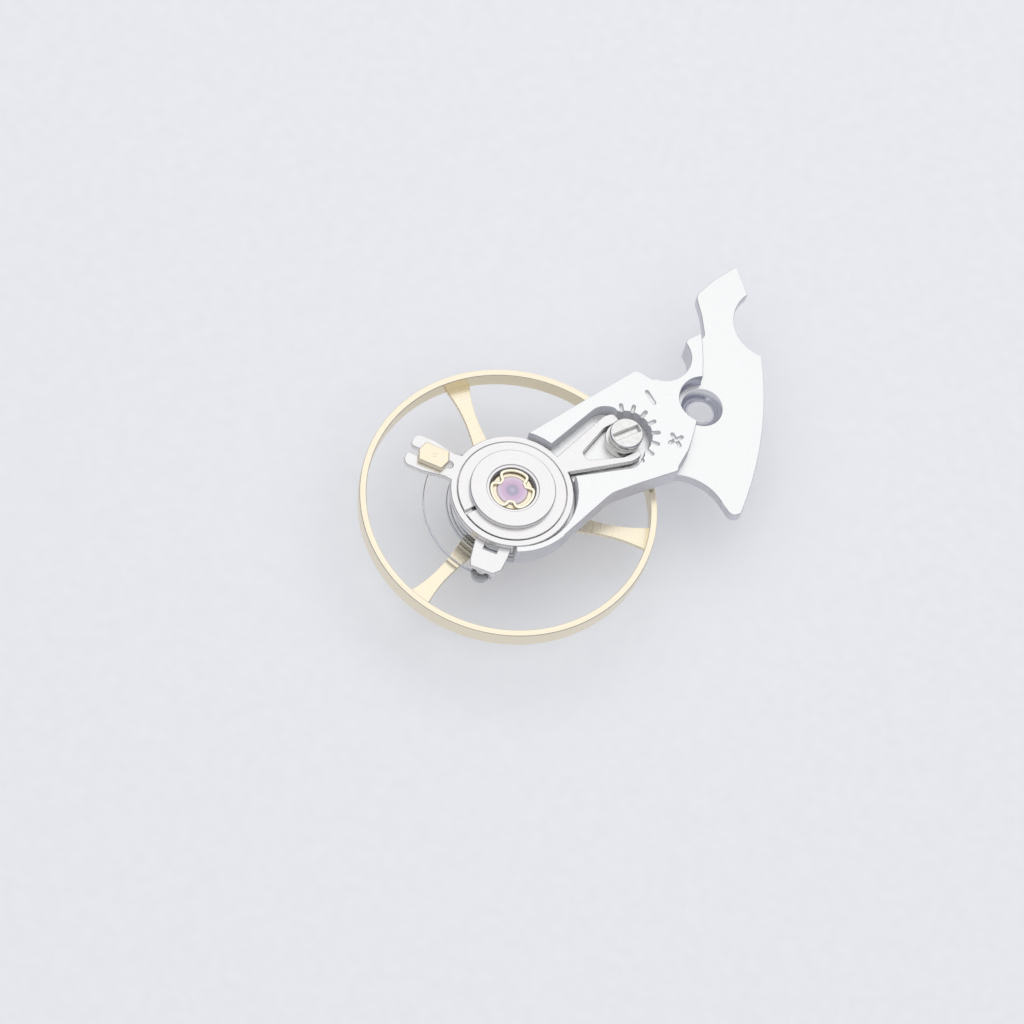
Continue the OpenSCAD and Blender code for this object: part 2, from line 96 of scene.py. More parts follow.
def circle(radius, steps=180):
    """A closed circle round the origin, counter to the clock, without its first point twice."""
    return polar(radius, np.arange(steps) * 360 / steps)


def turned(points, degrees, centre=AXIS):
    """The points turned about the origin and moved to a centre, which is the balance axis unless given."""
    c, s = math.cos(math.radians(degrees)), math.sin(math.radians(degrees))
    return np.asarray(points, float) @ np.array([[c, s], [-s, c]]) + centre


# %% Rounded corners
def rounded(corners, steps=9, closed=True):
    """A polygon of corners (x, y) or (x, y, r). A corner with r becomes an arc of that radius that touches
    both sides: its centre lies on their bisector, r over the sine of half their angle from the corner."""
    flat = [np.array(c[:2], float) for c in corners]
    out = []
    for i, c in enumerate(corners):
        p, before, after = flat[i], flat[i - 1], flat[(i + 1) % len(flat)]
        if len(c) == 2 or (not closed and i in (0, len(flat) - 1)):
            out.append(p[None])
            continue
        u, w = (before - p) / np.linalg.norm(before - p), (after - p) / np.linalg.norm(after - p)
        half = math.acos(np.clip(u @ w, -1, 1)) / 2
        centre = p + (u + w) / np.linalg.norm(u + w) * c[2] / math.sin(half)
        first = p + u * c[2] / math.tan(half) - centre
        a0 = math.degrees(math.atan2(first[1], first[0]))
        way = -1 if u[0] * w[1] - u[1] * w[0] > 0 else 1
        out.append(polar(c[2], np.linspace(a0, a0 + way * (180 - 2 * math.degrees(half)), steps), centre))
    return np.concatenate(out)


# %% [markdown]
# ## Builders
#
# Two builders make most pieces. A *turned* piece is a profile of radius and height carried round an axis,
# as the Screw modifier would carry it. A *plate* is a stack of rings, one above the other, with a lid and
# a base filled between them, like an extrusion. With arrays both take their sizes from named values, and
# all points and faces enter the mesh in one call.


# %% A mesh from arrays
def mesh_piece(name, points, *faces):
    """A mesh from points in millimetres and arrays of faces, all written with foreach_set."""
    mesh = bpy.data.meshes.new(name)
    sizes = np.concatenate([np.full(len(f), f.shape[1]) for f in faces])
    mesh.vertices.add(len(points))
    mesh.vertices.foreach_set("co", (np.asarray(points) * MM).astype(np.float32).ravel())
    mesh.loops.add(int(sizes.sum()))
    mesh.loops.foreach_set("vertex_index", np.concatenate([f.ravel() for f in faces]).astype(np.int32))
    mesh.polygons.add(len(sizes))
    mesh.polygons.foreach_set("loop_start", np.r_[0, np.cumsum(sizes)[:-1]].astype(np.int32))
    mesh.update(calc_edges=True)
    piece = bpy.data.objects.new(name, mesh)
    scene.collection.objects.link(piece)
    return piece


def merged(piece, distance=1e-4, flat=None):
    """Merges points closer than a distance in millimetres. With an angle for flat, it also joins faces that
    lie in one plane to within that many degrees."""
    bm = bmesh.new()
    bm.from_mesh(piece.data)
    bmesh.ops.remove_doubles(bm, verts=bm.verts, dist=distance * MM)
    bmesh.ops.dissolve_degenerate(bm, edges=bm.edges, dist=distance * MM)
    if flat:
        bmesh.ops.dissolve_limit(bm, angle_limit=math.radians(flat), verts=bm.verts, edges=bm.edges)
    bm.to_mesh(piece.data)
    bm.free()
    return piece


def grid_faces(rows, columns, wrap_rows, wrap_columns):
    """Quads between the neighbours of a grid of points, which may close on itself either way."""
    index = np.arange(rows * columns).reshape(rows, columns)
    a = index if wrap_rows else index[:-1]
    b = np.roll(index, -1, 0) if wrap_rows else index[1:]
    quads = np.stack([a, b, np.roll(b, -1, 1), np.roll(a, -1, 1)], -1)
    return (quads if wrap_columns else quads[:, :-1]).reshape(-1, 4)


# %% Turned pieces
def turned_piece(name, profile, centre=AXIS, steps=192, hollow=False, corner_steps=2):
    """A profile of (radius, height) or (radius, height, edge) carried round a vertical axis. It starts at the
    bottom and goes outwards, up and back in. A solid one begins and ends on the axis, a hollow one closes."""
    radius, height = rounded(profile, corner_steps, closed=hollow).T
    a = np.radians(np.arange(steps) * 360 / steps)[:, None]
    x, y = centre[0] + radius * np.cos(a), centre[1] + radius * np.sin(a)
    points = np.stack([x, y, height + 0 * a], -1).reshape(-1, 3)
    return merged(mesh_piece(name, points, grid_faces(steps, len(radius), True, hollow)))


# %% Plates
def inset(loop, d):
    """Moves every side of a closed loop to its left by d. A point goes along the sum of its two sides'
    normals, divided by one plus their product, so that both sides land exactly d away. The divisor is held
    above a least value, so that a very sharp corner doesn't run out into a spike."""
    side = np.roll(loop, -1, 0) - loop
    side /= np.linalg.norm(side, axis=1)[:, None]
    left = np.stack([-side[:, 1], side[:, 0]], -1)
    both = left + np.roll(left, 1, 0)
    least = 0.3
    return loop + d * both / np.maximum((both * left).sum(1), least)[:, None]


def level(loop, z):
    """A flat loop at a height."""
    return np.column_stack([loop, np.full(len(loop), z)])


def wall(loop, z0, z1, edge=EDGE):
    """The rings of a plain wall: the loop at both heights, drawn in by a chamfer at its ends."""
    small = inset(loop, edge)
    return np.stack([level(small, z0), level(loop, z0 + edge), level(loop, z1 - edge), level(small, z1)])


def plate_piece(name, *walls):
    """A closed plate. Each wall is a stack of rings. The outline runs counter to the clock, a hole with the
    clock. The first rings bound the base and the last ones the lid, which are filled with triangles."""
    points, faces, ends, base = [], [], ([], []), 0
    for w in walls:
        rows, n = w.shape[:2]
        points.append(w.reshape(-1, 3))
        faces.append(base + grid_faces(rows, n, False, True)[:, ::-1])
        ends[0].append((w[0], base + np.arange(n)))
        ends[1].append((w[-1], base + (rows - 1) * n + np.arange(n)))
        base += rows * n
    points = np.concatenate(points)
    for up, rings in zip((-1, 1), ends):
        index = np.concatenate([r[1] for r in rings])
        found = index[np.array(tessellate_polygon([[Vector(p) for p in r[0]] for r in rings]))]
        a, b, c = (points[found[:, k], :2] for k in range(3))
        area = (b[:, 0] - a[:, 0]) * (c[:, 1] - a[:, 1]) - (b[:, 1] - a[:, 1]) * (c[:, 0] - a[:, 0])
        found[area * up < 0] = found[area * up < 0][:, ::-1]
        faces.append(found)
    return mesh_piece(name, points, np.concatenate(faces[:-2]), np.concatenate(faces[-2:]))


# %% [markdown]
# ## Camera
#
# The camera looks down at 61 degrees and leans 17.5 degrees to the side, as in the picture that the part
# was measured from. It could be aimed by hand in the viewport. Here it is worked out from three angles,
# so that each can be checked: its own right and up come first, turned by the lean, and its matrix is put
# together from them. A long lens keeps the rings round.

# %% Camera
ELEVATION, HEADING, LEAN = math.radians(61), math.radians(46.205), math.radians(17.5)
PIXELS, PIXELS_PER_MM, JEWEL_PIXEL = 1024, 31.8, (513.2, 487.8)
LENS, SENSOR = 200.0, 36.0

level_right = np.array([math.cos(HEADING), -math.sin(HEADING), 0.0])
level_up = np.array([
    math.sin(HEADING) * math.sin(ELEVATION), math.cos(HEADING) * math.sin(ELEVATION), math.cos(ELEVATION)])
right = level_right * math.cos(LEAN) + level_up * math.sin(LEAN)
up = level_up * math.cos(LEAN) - level_right * math.sin(LEAN)
back = np.cross(right, up)
away = (PIXELS / 2 - np.array(JEWEL_PIXEL)) / PIXELS_PER_MM
target = np.array([*AXIS, ARM_TOP]) + right * away[0] - up * away[1]
distance = LENS * PIXELS / PIXELS_PER_MM / SENSOR

camera_data = bpy.data.cameras.new("camera")
camera_data.lens, camera_data.sensor_width = LENS, SENSOR
camera_data.clip_start, camera_data.clip_end = 0.005, 5.0
camera = bpy.data.objects.new("camera", camera_data)
scene.collection.objects.link(camera)
stand = Matrix.Translation(Vector(target + back * distance) * MM)
camera.matrix_world = stand @ Matrix((right, up, back)).transposed().to_4x4()
scene.camera = camera
print("camera distance in mm:", round(distance, 1))

# %% [markdown]
# ## Finishes
#
# A finish is what a tool left on a metal: the grain of blasting, the rings of a lathe tool, or next to
# nothing after polishing. Photographs of real metal could be wrapped round the pieces, but they would
# blur this close. Each finish below is a Principled shader instead, whose roughness, colour and bump
# follow a pattern. The real marks are 0.02 to 0.05 mm apart, about a pixel or less here, so that each
# pattern is drawn up to three times as coarse to show. Metals keep the default IOR, and their colour is
# the tint of what they mirror.


# %% Colours and nodes
def linear(code):
    """An sRGB hex colour as linear light: a power of 2.4, and a straight line below four hundredths."""
    c = np.array([int(code[i : i + 2], 16) / 255 for i in (1, 3, 5)])
    return (*np.where(c <= 0.04045, c / 12.92, ((c + 0.055) / 1.055) ** 2.4), 1.0)


def add(tree, kind, inputs, **settings):
    """Adds a node with its settings. An input's value is set, or joined where it is another node's output."""
    node = tree.nodes.new(kind)
    for key, value in settings.items():
        setattr(node, key, value)
    for key, value in inputs.items():
        if isinstance(value, bpy.types.NodeSocket):
            tree.links.new(value, node.inputs[key])
        else:
            node.inputs[key].default_value = value
    return node


def reach_from(tree, place, axis):
    """How far a surface point is from an upright axis, in metres: the length of its x and y less the axis."""
    offset = (-axis[0] * MM, -axis[1] * MM, 0)
    flat = add(tree, "ShaderNodeMapping", {0: place, "Location": offset, "Scale": (1, 1, 0)})
    return add(tree, "ShaderNodeVectorMath", {0: flat.outputs[0]}, operation="LENGTH").outputs["Value"]


# %% A finish
NOISE_LOW, NOISE_HIGH = 0.3, 0.7  # noise seldom leaves this range


def finish_of(name, tints, rough, size, depth, rings_about=None, metal=1.0, clear=0.0, **constants):
    """A shader whose marks are size millimetres apart: grains, or rings about an upright axis. Tint and
    roughness run between two values, and the bump has a depth in millimetres."""
    material = bpy.data.materials.new(name)
    material.use_nodes = True
    tree = material.node_tree
    tree.nodes.clear()
    place = add(tree, "ShaderNodeTexCoord", {}).outputs["Object"]
    scale = 1 / (size * MM)
    if rings_about:
        lines = {"W": reach_from(tree, place, rings_about), "Scale": scale, "Detail": 2.0}
        marks = add(tree, "ShaderNodeTexNoise", lines, noise_dimensions="1D")
    else:
        marks = add(tree, "ShaderNodeTexNoise", {"Vector": place, "Scale": scale, "Detail": 3.0})
    height = marks.outputs[0]
    spread = {"Value": height, "From Min": NOISE_LOW, "From Max": NOISE_HIGH}
    value = add(tree, "ShaderNodeMapRange", spread).outputs[0]
    tint = add(tree, "ShaderNodeMix", {0: value, 6: linear(tints[0]), 7: linear(tints[1])}, data_type="RGBA")
    rub = add(tree, "ShaderNodeMapRange", {"Value": value, "To Min": rough[0], "To Max": rough[1]})
    bump = add(tree, "ShaderNodeBump", {"Height": height, "Strength": 1.0, "Distance": depth * MM})
    shader = add(tree, "ShaderNodeBsdfPrincipled", {
        "Base Color": tint.outputs[2], "Roughness": rub.outputs[0], "Normal": bump.outputs[0],
        "Metallic": metal, "Transmission Weight": clear, **constants})
    add(tree, "ShaderNodeOutputMaterial", {"Surface": shader.outputs[0]})
    print(f"{name}: marks {size} mm apart")
    return material


# %% Nickel and steel
# Nickel plate on blasted brass: near white, with wide soft reflections.
nickel_satin = finish_of("nickel_plate_satin", ("#eaeae9", "#f5f5f4"), (0.26, 0.38), 0.08, 0.0012)
# The same plating in the screw's seat, which a form cutter sank: smooth rings, which mirror more.
SEAT_CENTRE = (0.0, 0.0)
nickel_form_cut = finish_of(
    "nickel_plate_form_cut", ("#c9cad3", "#dfdfe3"), (0.1, 0.22), 0.05, 0.0008, SEAT_CENTRE)
# The same plating on milled walls and in the bush's well. Light goes to and fro between real walls many
# times, and a render follows it only a few times. A rough, partly metallic finish makes up for the rest.
nickel_milled = finish_of(
    "nickel_plate_milled", ("#e6e6ea", "#f2f2f5"), (0.6, 0.75), 0.06, 0.0012, metal=0.6)
# Steel turned on a lathe: fine rings about the balance axis, a little warmer than the plate.
steel_turned = finish_of("steel_turned", ("#e5e3e2", "#f0eeed"), (0.22, 0.34), 0.045, 0.0006, AXIS)
# Hardened steel, black polished: it mirrors the room, so that it looks bright or dark as it is turned.
steel_polished = finish_of("steel_black_polished", ("#d9d8d6", "#e6e5e2"), (0.08, 0.16), 0.12, 0.0001)
# A grey spring alloy, rolled thin and polished.
spring_alloy = finish_of("spring_alloy_rolled", ("#c0c2c8", "#d4d6da"), (0.16, 0.28), 0.05, 0.0002)

# %% Gold colours
# Gilt spring wire, bright from the drawing die.
gilt_wire = finish_of("gilt_wire_bright", ("#f5ecd0", "#fcf7e6"), (0.14, 0.24), 0.05, 0.0003)
# Gilt brass, milled and tumbled: softer than the wire.
gilt_brass = finish_of("gilt_brass_satin", ("#efe4c6", "#f8efdb"), (0.24, 0.36), 0.07, 0.001)
# A pale copper alloy, diamond-turned: rings of a fine feed about the balance axis.
balance_alloy = finish_of("balance_alloy_turned", ("#eee2c6", "#f7eeda"), (0.2, 0.32), 0.05, 0.0006, AXIS)

# %% Ruby and adhesive
# Synthetic ruby, polished: light goes in and comes back pink-violet.
RUBY_TINTS, RUBY_IOR, POLISHED = ("#c98ecb", "#dcaade"), 1.76, (0.02, 0.05)
ruby = finish_of("ruby_polished", RUBY_TINTS, POLISHED, 0.15, 0.0, metal=0.0, clear=0.15, IOR=RUBY_IOR)
# The cap jewel's ruby: its colour bands below hold painted highlights at the middle and near the edge.
ruby_over_hole_painted_highlights = finish_of(
    "ruby_polished_over_hole_painted_highlights", RUBY_TINTS, POLISHED, 0.15, 0.0, metal=0.0, IOR=RUBY_IOR)
# Clear adhesive, hardened: a drop that shows a dark outline, because light bends away at its edge.
cement = finish_of(
    "adhesive_drop_clear", ("#d4d6da", "#e2e4e7"), POLISHED, 0.1, 0.0, metal=0.0, clear=0.85, IOR=1.5)

# %% Cap jewel
# The pierced jewel below it shows through as a greyer disc. A painted highlight lightens the middle, and
# a painted highlight of the polished bevel makes pale bands near the edge. So its colour comes in bands,
# by the distance from the axis as a share of a reach in millimetres.
CAP_REACH = 0.5
CAP_BANDS_WITH_PAINTED_HIGHLIGHTS = [
    (0.0, "#dcd6e6"), (0.1, "#dcd6e6"), (0.16, "#cac1d7"), (0.34, "#c8bed6"), (0.46, "#eccae9"),
    (0.76, "#fcdaf5"), (0.86, "#ffeefb"), (0.95, "#fff2fc"), (1.0, "#e6cfe3")]
tree = ruby_over_hole_painted_highlights.node_tree
reach = reach_from(tree, add(tree, "ShaderNodeTexCoord", {}).outputs["Object"], AXIS)
share = add(tree, "ShaderNodeMath", {0: reach, 1: CAP_REACH * MM}, operation="DIVIDE")
bands = add(tree, "ShaderNodeValToRGB", {0: share.outputs[0]})
ramp = bands.color_ramp.elements
ramp.remove(ramp[1])
ramp[0].color = linear(CAP_BANDS_WITH_PAINTED_HIGHLIGHTS[0][1])
for at, code in CAP_BANDS_WITH_PAINTED_HIGHLIGHTS[1:]:
    ramp.new(at).color = linear(code)
tree.links.new(bands.outputs[0], tree.nodes["Principled BSDF"].inputs["Base Color"])
print("finishes:", len(bpy.data.materials))

# %% [markdown]
# ## Room
#
# A watch is photographed in a light tent: a pale room and one wide soft lamp. Metal shows little but what
# it mirrors, so the room matters more than the lamp. A plain grey world would make the plate look like
# plastic. This tent is bright above and greyer towards the horizon. Level faces turn near white, and the
# broken edges, which mirror the horizon, draw thin dark lines round them. Walls mirror the pale table.

# %% Light tent
# The tent's colour goes by how far up a ray looks, as the sine of its elevation.
TENT_GREY_BELOW, TENT_WHITE_ABOVE, TENT_STRENGTH = 0.38, 0.68, 0.92
world = bpy.data.worlds.new("light_tent")
scene.world = world
world.use_nodes = True
tree = world.node_tree
way = add(tree, "ShaderNodeSeparateXYZ", {0: add(tree, "ShaderNodeTexCoord", {}).outputs["Generated"]})
share = add(tree, "ShaderNodeMapRange", {
    "Value": way.outputs["Z"], "From Min": TENT_GREY_BELOW, "From Max": TENT_WHITE_ABOVE})
tent = add(tree, "ShaderNodeMix", {
    0: share.outputs[0], 6: linear("#9497a6"), 7: linear("#f0f1f3")}, data_type="RGBA")
tree.links.new(tent.outputs[2], tree.nodes["Background"].inputs["Color"])
tree.nodes["Background"].inputs["Strength"].default_value = TENT_STRENGTH
scene.view_settings.view_transform = "Standard"
print("tent strength:", TENT_STRENGTH)

# %% Lamp
LAMP_WAY = Vector((0.35, 0.336, 0.875)).normalized()
LAMP_DISTANCE, LAMP_SIZE = 80.0, 60.0
LAMP_WATTS = 0.0043  # so near a part of 16 mm, a few milliwatts are bright
lamp_data = bpy.data.lights.new("overhead_box", "AREA")
lamp_data.size, lamp_data.energy = LAMP_SIZE * MM, LAMP_WATTS
lamp = bpy.data.objects.new("overhead_box", lamp_data)
stand = Matrix.Translation((Vector((*AXIS, 0)) + LAMP_WAY * LAMP_DISTANCE) * MM)
lamp.matrix_world = stand @ LAMP_WAY.to_track_quat("Z", "Y").to_matrix().to_4x4()
scene.collection.objects.link(lamp)
print("lamp distance and size in mm:", LAMP_DISTANCE, LAMP_SIZE)

# %% Table
TABLE_R, GLOW = 300.0, 0.19
table_line = polar(TABLE_R, np.arange(0, 360, 5))
table = mesh_piece("table", level(table_line, PIVOT_TIP), np.arange(len(table_line))[None])
table_paper = finish_of("table_paper", ("#f0f1f4", "#f5f6f8"), (0.6, 0.75), 0.4, 0.0, metal=0.0)
# The paper looks a little lighter to the camera, and in what the metal and the drop of adhesive mirror.
tree = table_paper.node_tree
rays = add(tree, "ShaderNodeLightPath", {}).outputs
seen = add(tree, "ShaderNodeMath", {0: rays["Is Camera Ray"], 1: rays["Is Glossy Ray"]}, operation="MAXIMUM")
seen = add(tree, "ShaderNodeMath", {0: seen.outputs[0], 1: rays["Is Transmission Ray"]}, operation="MAXIMUM")
glow = add(tree, "ShaderNodeMath", {0: seen.outputs[0], 1: GLOW}, operation="MULTIPLY")
lift = add(tree, "ShaderNodeEmission", {"Color": linear("#f3f4f8"), "Strength": glow.outputs[0]})
paper = add(tree, "ShaderNodeAddShader", {0: tree.nodes["Principled BSDF"].outputs[0], 1: lift.outputs[0]})
tree.links.new(paper.outputs[0], tree.nodes["Material Output"].inputs["Surface"])
table.data.materials.append(table_paper)
print("table at z in mm:", PIVOT_TIP)

# %% [markdown]
# ## Cock
#
# The cock is milled from one plate, and its edges are broken so that they catch the light. It could be
# drawn anew, but its solid is nearly right already. So a copy of the frame's mesh has its triangles
# joined into flat faces, and each sharp edge gets a narrow chamfer. In two places the round milling cut
# of the real cock runs on, where the solid has a corner. A small plate with that round side is joined to
# it there. Where foot and arm share a corner, the foot stands proud by a hair, and a light cut makes the
# two flush, because a chamfer can't follow so thin a ledge.


# %% Copies, booleans and chamfers
def from_node(name, node):
    """A new object with a copy of a CAD node's mesh."""
    piece = bpy.data.objects.new(name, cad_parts[node].data.copy())
    piece.data.materials.clear()
    scene.collection.objects.link(piece)
    return piece


def baked(piece):
    """Works the modifiers into the mesh."""
    found = piece.evaluated_get(bpy.context.evaluated_depsgraph_get())
    mesh = bpy.data.meshes.new_from_object(found)
    piece.modifiers.clear()
    piece.data = mesh
    return piece


def combined(piece, how, *others):
    """Takes the other solids from this one (DIFFERENCE) or joins them to it (UNION), with exact booleans."""
    for other in others:
        boolean = piece.modifiers.new(how, "BOOLEAN")
        boolean.object, boolean.operation, boolean.solver = other, how, "EXACT"
        baked(piece)
        bpy.data.objects.remove(other)
    return piece


def broken_edges(piece, edge=EDGE, flat=0.5, sharp=32):
    """Joins faces in one plane, to within flat degrees, and breaks edges over sharp degrees by a chamfer."""
    merged(piece, 2e-4, flat)
    bevel = piece.modifiers.new("edge", "BEVEL")
    bevel.width, bevel.segments, bevel.limit_method = edge * MM, 1, "ANGLE"
    bevel.angle_limit, bevel.use_clamp_overlap = math.radians(sharp), False
    return baked(piece)


# %% Cock
FOOT_TOP = 0.4
TRAIN_CUT_R, TRAIN_CUT = 0.91, (-0.38, 1.95)
WHEEL_CUT_R, WHEEL_CUT = 1.7, (-2.93, -3.17)
cock = merged(from_node("cock_plate", "balance_cock"))
beside_train = np.concatenate([
    arc(TRAIN_CUT_R, -14, -60, TRAIN_CUT), [(0.3, 1.0), (0.62, 1.2), (0.62, 1.73)]])
beside_wheel = np.concatenate([
    arc(WHEEL_CUT_R, 36, -2, WHEEL_CUT), [(-1.1, -3.2), (-1.1, -2.3), (-1.45, -2.1)]])
combined(cock, "UNION", plate_piece("train_side", wall(beside_train, 0, ARM_TOP, 0)),
         plate_piece("wheel_side", wall(beside_wheel, 0, FOOT_TOP, 0)))
flush = rounded([
    (-3.6, 1.6953), (-1.4655, 1.8994, 0.2), (-1.1965, 1.457), (-0.95, 1.6), (-1.1, 2.3), (-3.6, 2.3)])
combined(cock, "DIFFERENCE", plate_piece("flush_cut", wall(flush, -0.1, 1.1, 0)))
broken_edges(cock)
print("cock:", len(cock.data.polygons), "faces with broken edges")

# %% [markdown]
# ## Signs and scale
#
# The plus and minus tell which way makes the watch gain or lose, and eight short ticks round the
# eccentric screw tell how far it was turned. A bump in the finish could draw them, but a groove has walls
# that catch the light. An engraver's cutter leaves grooves of one width with round ends. It goes in deep
# and comes out shallow, so that one end looks darker. Each groove is a small solid taken out of the cock.


# %% Grooves
SIGN_W, SIGN_DEPTH, SIGN_SHALLOW = 0.11, 0.09, 0.04


def flared(loop, z0, z1, edge=0.015):
    """The wall of a cut: drawn in at its floor z0, and opened by a chamfer where it leaves the top at z1."""
    return np.stack([level(inset(loop, edge), z0), level(loop, z0 + edge), level(loop, z1 - edge),
                     level(inset(loop, -3 * edge), z1 + 2 * edge)])


def groove(start, end, step=15):
    """The solid of a groove between two points of the top: a half circle round each end, joined by its sides.
    Its floor is a plane that rises with the share of the way from the start to the end."""
    way = math.degrees(math.atan2(end[1] - start[1], end[0] - start[0]))
    near_end = arc(SIGN_W / 2, way - 90, way + 90, end, step)
    near_start = arc(SIGN_W / 2, way + 90, way + 270, start, step)
    rings = flared(np.concatenate([near_end, near_start]), ARM_TOP - SIGN_DEPTH, ARM_TOP)
    share = (rings[:2, :, :2] - start) @ (end - start) / ((end - start) @ (end - start))
    rings[:2, :, 2] += (SIGN_DEPTH - SIGN_SHALLOW) * share
    return plate_piece("groove_cut", rings)


# %% Engraving
SCREW_REACH, FORK_ANGLE = 4.25, 0.6
SIGN_HALF, TICKS, FIRST_TICK, TICK_STEP, TICK_START, TICK_END = 0.22, 8, 68, 22.8, 1.05, 0.76
screw_centre = polar(SCREW_REACH, FORK_ANGLE, AXIS)
minus, plus = AXIS + np.array([5.65, 0.84]), AXIS + np.array([5.58, -0.84])
along, across = np.array([0, SIGN_HALF]), np.array([SIGN_HALF, 0])
cuts = [groove(middle + half, middle - half)
        for middle, half in ((minus, along), (plus, along), (plus, across))]
cuts += [groove(polar(TICK_START, tick, screw_centre), polar(TICK_END, tick, screw_centre))
         for tick in FIRST_TICK - TICK_STEP * np.arange(TICKS)]
print("grooves:", len(cuts))
combined(cock, "DIFFERENCE", *cuts)

# %% [markdown]
# ## Finishes on the cock
#
# One block of metal shows several tools. The plate was blasted and plated, its walls still show the mill,
# and the screw's seat shows the form cutter. Painting them by hand would have to be done again after each
# change. Here each face gets its finish by where it lies and how far it faces up. Level faces are shaded
# flat, as they were ground.


# %% Placing a piece
SMOOTH_BELOW, LEVEL_ABOVE = 28.0, 0.99995


def placed(piece, material, slot, body, *nodes):
    """Gives a piece its finish and puts it on its body, where one is given. Level faces are shaded flat,
    and elsewhere only the edges sharper than SMOOTH_BELOW degrees show."""
    piece.data.materials.clear()
    piece.data.materials.append(material)
    piece.data.shade_smooth()
    piece.data.set_sharp_from_angle(angle=math.radians(SMOOTH_BELOW))
    normals = np.empty(3 * len(piece.data.polygons), np.float32)
    piece.data.polygons.foreach_get("normal", normals)
    piece.data.polygons.foreach_set("use_smooth", np.abs(normals[2::3]) < LEVEL_ABOVE)
    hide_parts(*nodes)
    if body:
        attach(piece, body)
    print(f"{piece.name}: {len(piece.data.vertices)} points, {len(piece.data.polygons)} faces")
    return piece


def within(piece, centre, reach, steepest):
    """Tells of each face whether it lies nearer than reach to an upright line and faces up or down by less
    than a share, which is 0 for an upright wall and 1 for a level face."""
    middles, normals = np.empty((2, len(piece.data.polygons), 3), np.float32)
    piece.data.polygons.foreach_get("center", middles.ravel())
    piece.data.polygons.foreach_get("normal", normals.ravel())
    near = np.linalg.norm(middles[:, :2] / MM - centre, axis=1) < reach
    return near & (np.abs(normals[:, 2]) < steepest)


def second_finish(piece, material, faces):
    """Gives some of a piece's faces another finish."""
    slots = np.zeros(len(faces), np.int32)
    piece.data.polygons.foreach_get("material_index", slots)
    slots[faces] = len(piece.data.materials)
    piece.data.materials.append(material)
    piece.data.polygons.foreach_set("material_index", slots)
    print(f"{piece.name}: {int(faces.sum())} faces of {material.name}")


# %% Plate, walls and screw seat
WHOLE_COCK, SEAT_REACH = 50.0, 0.85
UPRIGHT, NOT_LEVEL = 0.3, 0.999
placed(cock, nickel_satin, "nickel_satin", "cock", "balance_cock")
second_finish(cock, nickel_milled, within(cock, SEAT_CENTRE, WHOLE_COCK, UPRIGHT))
second_finish(cock, nickel_form_cut, within(cock, SEAT_CENTRE, SEAT_REACH, NOT_LEVEL))

# %% [markdown]
# ## Steady pins
#
# Two hard pins stand out below the foot and place the cock on the main plate. A cylinder would do for the
# shank, but a real pin has a chamfered tip and a cone at its root, so it is a turned profile.

# %% Steady pins
PIN_PLACES = ((-0.64, -2.85), (2.56, 3.0))
pin_profile = [(0, -0.6), (0.27, -0.6), (0.35, -0.52), (0.35, 0), (0.19, 0.08), (0.19, 0.28), (0, 0.28)]
for k, place in enumerate(PIN_PLACES):
    pin = turned_piece(f"steady_pin_{k + 1}", pin_profile, place, 96)
    placed(pin, steel_polished, "steel_bright", "cock", *(["steady_pins"] if k == 0 else []))

# %% [markdown]
# ## Shock setting
#
# A flanged bush holds a small turned setting with two jewels, and a gilt spring keeps them down. All but
# the spring are lathe work, so each is a profile carried round the balance axis. Booleans of cylinders
# could give the same steps, but a profile is how a watchmaker's drawing shows them, and its corners can
# be rounded.

# %% Bush
JOURNAL_R, GROOVE_R, FLANGE_R, WELL_R, WELL_REACH = 1.42, 1.16, 1.37, 0.75, 0.8
block = turned_piece("shock_block_turned", [
    (0.2, ARM_BOTTOM), (1.25, ARM_BOTTOM, 0.02), (1.25, HEAD_FLOOR), (JOURNAL_R, HEAD_FLOOR),
    (JOURNAL_R, INDEX_STEP), (GROOVE_R, INDEX_STEP), (GROOVE_R, FLANGE_Z), (FLANGE_R, FLANGE_Z, 0.015),
    (FLANGE_R, ARM_TOP, 0.03), (0.83, ARM_TOP, 0.02), (0.83, 0.91), (WELL_R, 0.91, 0.01), (WELL_R, 0.87),
    (0.79, 0.87), (0.79, 0.79), (WELL_R, 0.79), (WELL_R, 0.61), (0.54, 0.4), (0.48, 0.4), (0.2, 0.23)],
    hollow=True, steps=240)
placed(block, steel_turned, "nickel_turned", "cock", "shock_block")
second_finish(block, nickel_milled, within(block, AXIS, WELL_REACH, UPRIGHT))

# %% Setting and jewels
setting = turned_piece("jewel_setting_turned", [
    (0.3, 0.4), (0.54, 0.4), (0.66, 0.52), (0.66, 0.76, 0.02), (0.49, 0.76, 0.02), (0.49, 0.62), (0.36, 0.62),
    (0.36, 0.44), (0.24, 0.44)], hollow=True)
placed(setting, gilt_brass, "gold_satin", "setting", "jewel_setting")
cap_jewel = turned_piece("cap_jewel_polished", [
    (0, 0.62), (0.49, 0.62, 0.01), (0.49, 0.8, 0.06), (0, 0.8)], corner_steps=7)
placed(cap_jewel, ruby_over_hole_painted_highlights, "ruby", "setting", "cap_jewel")
hole_jewel = turned_piece("hole_jewel_polished", [
    (0.06, 0.52), (0.2, 0.44), (0.36, 0.44), (0.36, 0.57, 0.01), (0.22, 0.6, 0.02), (0.06, 0.6, 0.01)],
    hollow=True)
placed(hole_jewel, ruby, "ruby", "setting", "hole_jewel")
